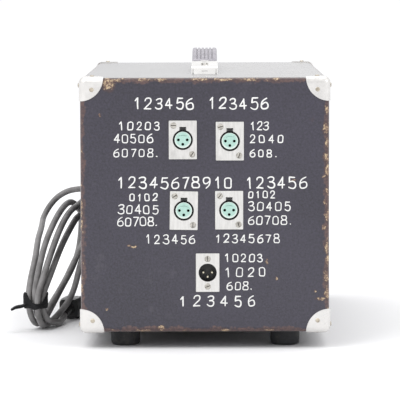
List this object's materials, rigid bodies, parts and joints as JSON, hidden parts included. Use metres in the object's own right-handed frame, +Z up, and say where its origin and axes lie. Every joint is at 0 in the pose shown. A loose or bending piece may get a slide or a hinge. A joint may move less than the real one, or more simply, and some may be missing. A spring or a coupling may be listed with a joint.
{
  "type": "rack compressor",
  "caption": "Rack audio compressor in a covered plywood carrying case, with three-pin audio sockets in one end, strap handle, feet and a coiled mains lead",
  "frame": {"origin": "on the floor under the middle of the case, without its lead", "axes": "+Z up, -Y out of the connector end, +X out of the control panel, -X out of the back where the mains lead leaves"},
  "size_m": [0.3287, 0.5212, 0.292],
  "materials": {
    "case_covering": "dark grey-violet leathercloth glued over plywood, fine grain, worn to red-brown at the edges",
    "nickel": "nickel plate, slightly dulled",
    "dark_brass": "aged brass rivets",
    "foot_rubber": "matt black rubber",
    "zinc_steel": "zinc-plated steel",
    "socket_metal": "satin nickel-plated die casting",
    "insert_mint": "pale mint moulded insulator",
    "black_plastic": "black moulding",
    "contact_metal": "plated contact",
    "strap_vinyl": "grey vinyl strap over a sprung strip",
    "panel_paint": "grey-black enamelled aluminium",
    "chassis_metal": "passivated sheet",
    "core_steel": "varnished laminations",
    "winding_tape": "yellow winding tape",
    "board_green": "glass-epoxy board",
    "component_black": "board components",
    "knob_black": "black phenolic",
    "meter_glass": "clear window",
    "needle_black": "black painted pointer",
    "lamp_red": "red lens",
    "lead_grey": "grey flexible sheath",
    "tie_fabric": "black hook-and-loop strap",
    "back_paint": "black painted board"
  },
  "bodies": {
    "case": {"case_top": "case_covering", "case_bottom": "case_covering", "connector_end_board": "case_covering", "plain_end_board": "case_covering", "back_panel": "back_paint", "back_cleats": "back_paint", "wood_screws": "zinc_steel", "corner_protectors": "nickel", "corner_rivets": "dark_brass", "rubber_feet": "foot_rubber", "foot_screws": "zinc_steel", "handle_end_caps": "nickel", "handle_screws": "nickel", "rack_rails": "zinc_steel", "rack_screws": "nickel", "female_socket_shells": "socket_metal", "female_socket_inserts": "insert_mint", "female_socket_seals": "black_plastic", "female_socket_contacts": "contact_metal", "male_socket_shell": "socket_metal", "male_socket_insert": "black_plastic", "male_socket_pins": "contact_metal", "socket_screws": "zinc_steel", "front_panel": "panel_paint", "panel_handles": "nickel", "chassis_tray": "chassis_metal", "chassis_cover": "chassis_metal", "transformer_core": "core_steel", "transformer_winding": "winding_tape", "main_board": "board_green", "board_parts": "component_black", "board_standoffs": "zinc_steel", "potentiometers": "zinc_steel", "toggle_bodies": "nickel", "meter_housings": "black_plastic", "meter_windows": "meter_glass", "fuse_holder": "black_plastic", "pilot_lamp": "lamp_red", "cable_gland": "black_plastic", "mains_lead": "lead_grey", "mains_lead_coil": "lead_grey", "cable_tie": "tie_fabric", "mains_plug": "black_plastic"},
    "input_knob": {"input_knob": "knob_black"},
    "threshold_knob": {"threshold_knob": "knob_black"},
    "ratio_knob": {"ratio_knob": "knob_black"},
    "attack_knob": {"attack_knob": "knob_black"},
    "release_knob": {"release_knob": "knob_black"},
    "output_knob": {"output_knob": "knob_black"},
    "bypass_lever": {"bypass_lever": "nickel"},
    "meter_lever": {"meter_lever": "nickel"},
    "mains_lever": {"mains_lever": "nickel"},
    "reduction_needle": {"reduction_needle": "needle_black"},
    "output_needle": {"output_needle": "needle_black"},
    "latch_upper_left": {"latch_upper_left": "black_plastic"},
    "latch_upper_right": {"latch_upper_right": "black_plastic"},
    "latch_lower_left": {"latch_lower_left": "black_plastic"},
    "latch_lower_right": {"latch_lower_right": "black_plastic"},
    "handle_strap": {"handle_strap": "strap_vinyl"},
    "fuse_cap": {"fuse_cap": "black_plastic"}
  },
  "joints": [
    {"name": "input_knob_turn", "type": "hinge", "parent": "case", "child": "input_knob", "pos_m": [0.087, -0.17, 0.09], "axis": [-1, 0, 0], "range_deg": [-150, 150]},
    {"name": "threshold_knob_turn", "type": "hinge", "parent": "case", "child": "threshold_knob", "pos_m": [0.087, -0.102, 0.09], "axis": [-1, 0, 0], "range_deg": [-150, 150]},
    {"name": "ratio_knob_turn", "type": "hinge", "parent": "case", "child": "ratio_knob", "pos_m": [0.087, -0.034, 0.09], "axis": [-1, 0, 0], "range_deg": [-150, 150]},
    {"name": "attack_knob_turn", "type": "hinge", "parent": "case", "child": "attack_knob", "pos_m": [0.087, 0.034, 0.09], "axis": [-1, 0, 0], "range_deg": [-150, 150]},
    {"name": "release_knob_turn", "type": "hinge", "parent": "case", "child": "release_knob", "pos_m": [0.087, 0.102, 0.09], "axis": [-1, 0, 0], "range_deg": [-150, 150]},
    {"name": "output_knob_turn", "type": "hinge", "parent": "case", "child": "output_knob", "pos_m": [0.087, 0.17, 0.09], "axis": [-1, 0, 0], "range_deg": [-150, 150]},
    {"name": "bypass_switch_throw", "type": "hinge", "parent": "case", "child": "bypass_lever", "pos_m": [0.088, 0.048, 0.193], "axis": [0, -1, 0], "range_deg": [0, 25]},
    {"name": "meter_switch_throw", "type": "hinge", "parent": "case", "child": "meter_lever", "pos_m": [0.088, 0.084, 0.193], "axis": [0, -1, 0], "range_deg": [0, 25]},
    {"name": "mains_switch_throw", "type": "hinge", "parent": "case", "child": "mains_lever", "pos_m": [0.088, 0.186, 0.193], "axis": [0, -1, 0], "range_deg": [0, 25]},
    {"name": "reduction_needle_swing", "type": "hinge", "parent": "case", "child": "reduction_needle", "pos_m": [0.091, -0.142, 0.167], "axis": [-1, 0, 0], "range_deg": [0, 90], "stiffness_Nm_per_rad": 0.0001, "springref_deg": -28.65},
    {"name": "output_needle_swing", "type": "hinge", "parent": "case", "child": "output_needle", "pos_m": [0.091, -0.04, 0.167], "axis": [-1, 0, 0], "range_deg": [0, 90], "stiffness_Nm_per_rad": 0.0001, "springref_deg": -28.65},
    {"name": "latch_upper_left_press", "type": "slide", "parent": "case", "child": "latch_upper_left", "axis": [0, 1, 0], "range_m": [0, 0.0015], "stiffness_N_per_m": 200, "springref_m": -0.003},
    {"name": "latch_upper_right_press", "type": "slide", "parent": "case", "child": "latch_upper_right", "axis": [0, 1, 0], "range_m": [0, 0.0015], "stiffness_N_per_m": 200, "springref_m": -0.003},
    {"name": "latch_lower_left_press", "type": "slide", "parent": "case", "child": "latch_lower_left", "axis": [0, 1, 0], "range_m": [0, 0.0015], "stiffness_N_per_m": 200, "springref_m": -0.003},
    {"name": "latch_lower_right_press", "type": "slide", "parent": "case", "child": "latch_lower_right", "axis": [0, 1, 0], "range_m": [0, 0.0015], "stiffness_N_per_m": 200, "springref_m": -0.003},
    {"name": "carrying_strap_slide", "type": "slide", "parent": "case", "child": "handle_strap", "axis": [0, 1, 0], "range_m": [-0.0015, 0.0015]},
    {"name": "fuse_cap_twist", "type": "hinge", "parent": "case", "child": "fuse_cap", "pos_m": [0.087, 0.12, 0.193], "axis": [-1, 0, 0], "range_deg": [-45, 0]}
  ]
}
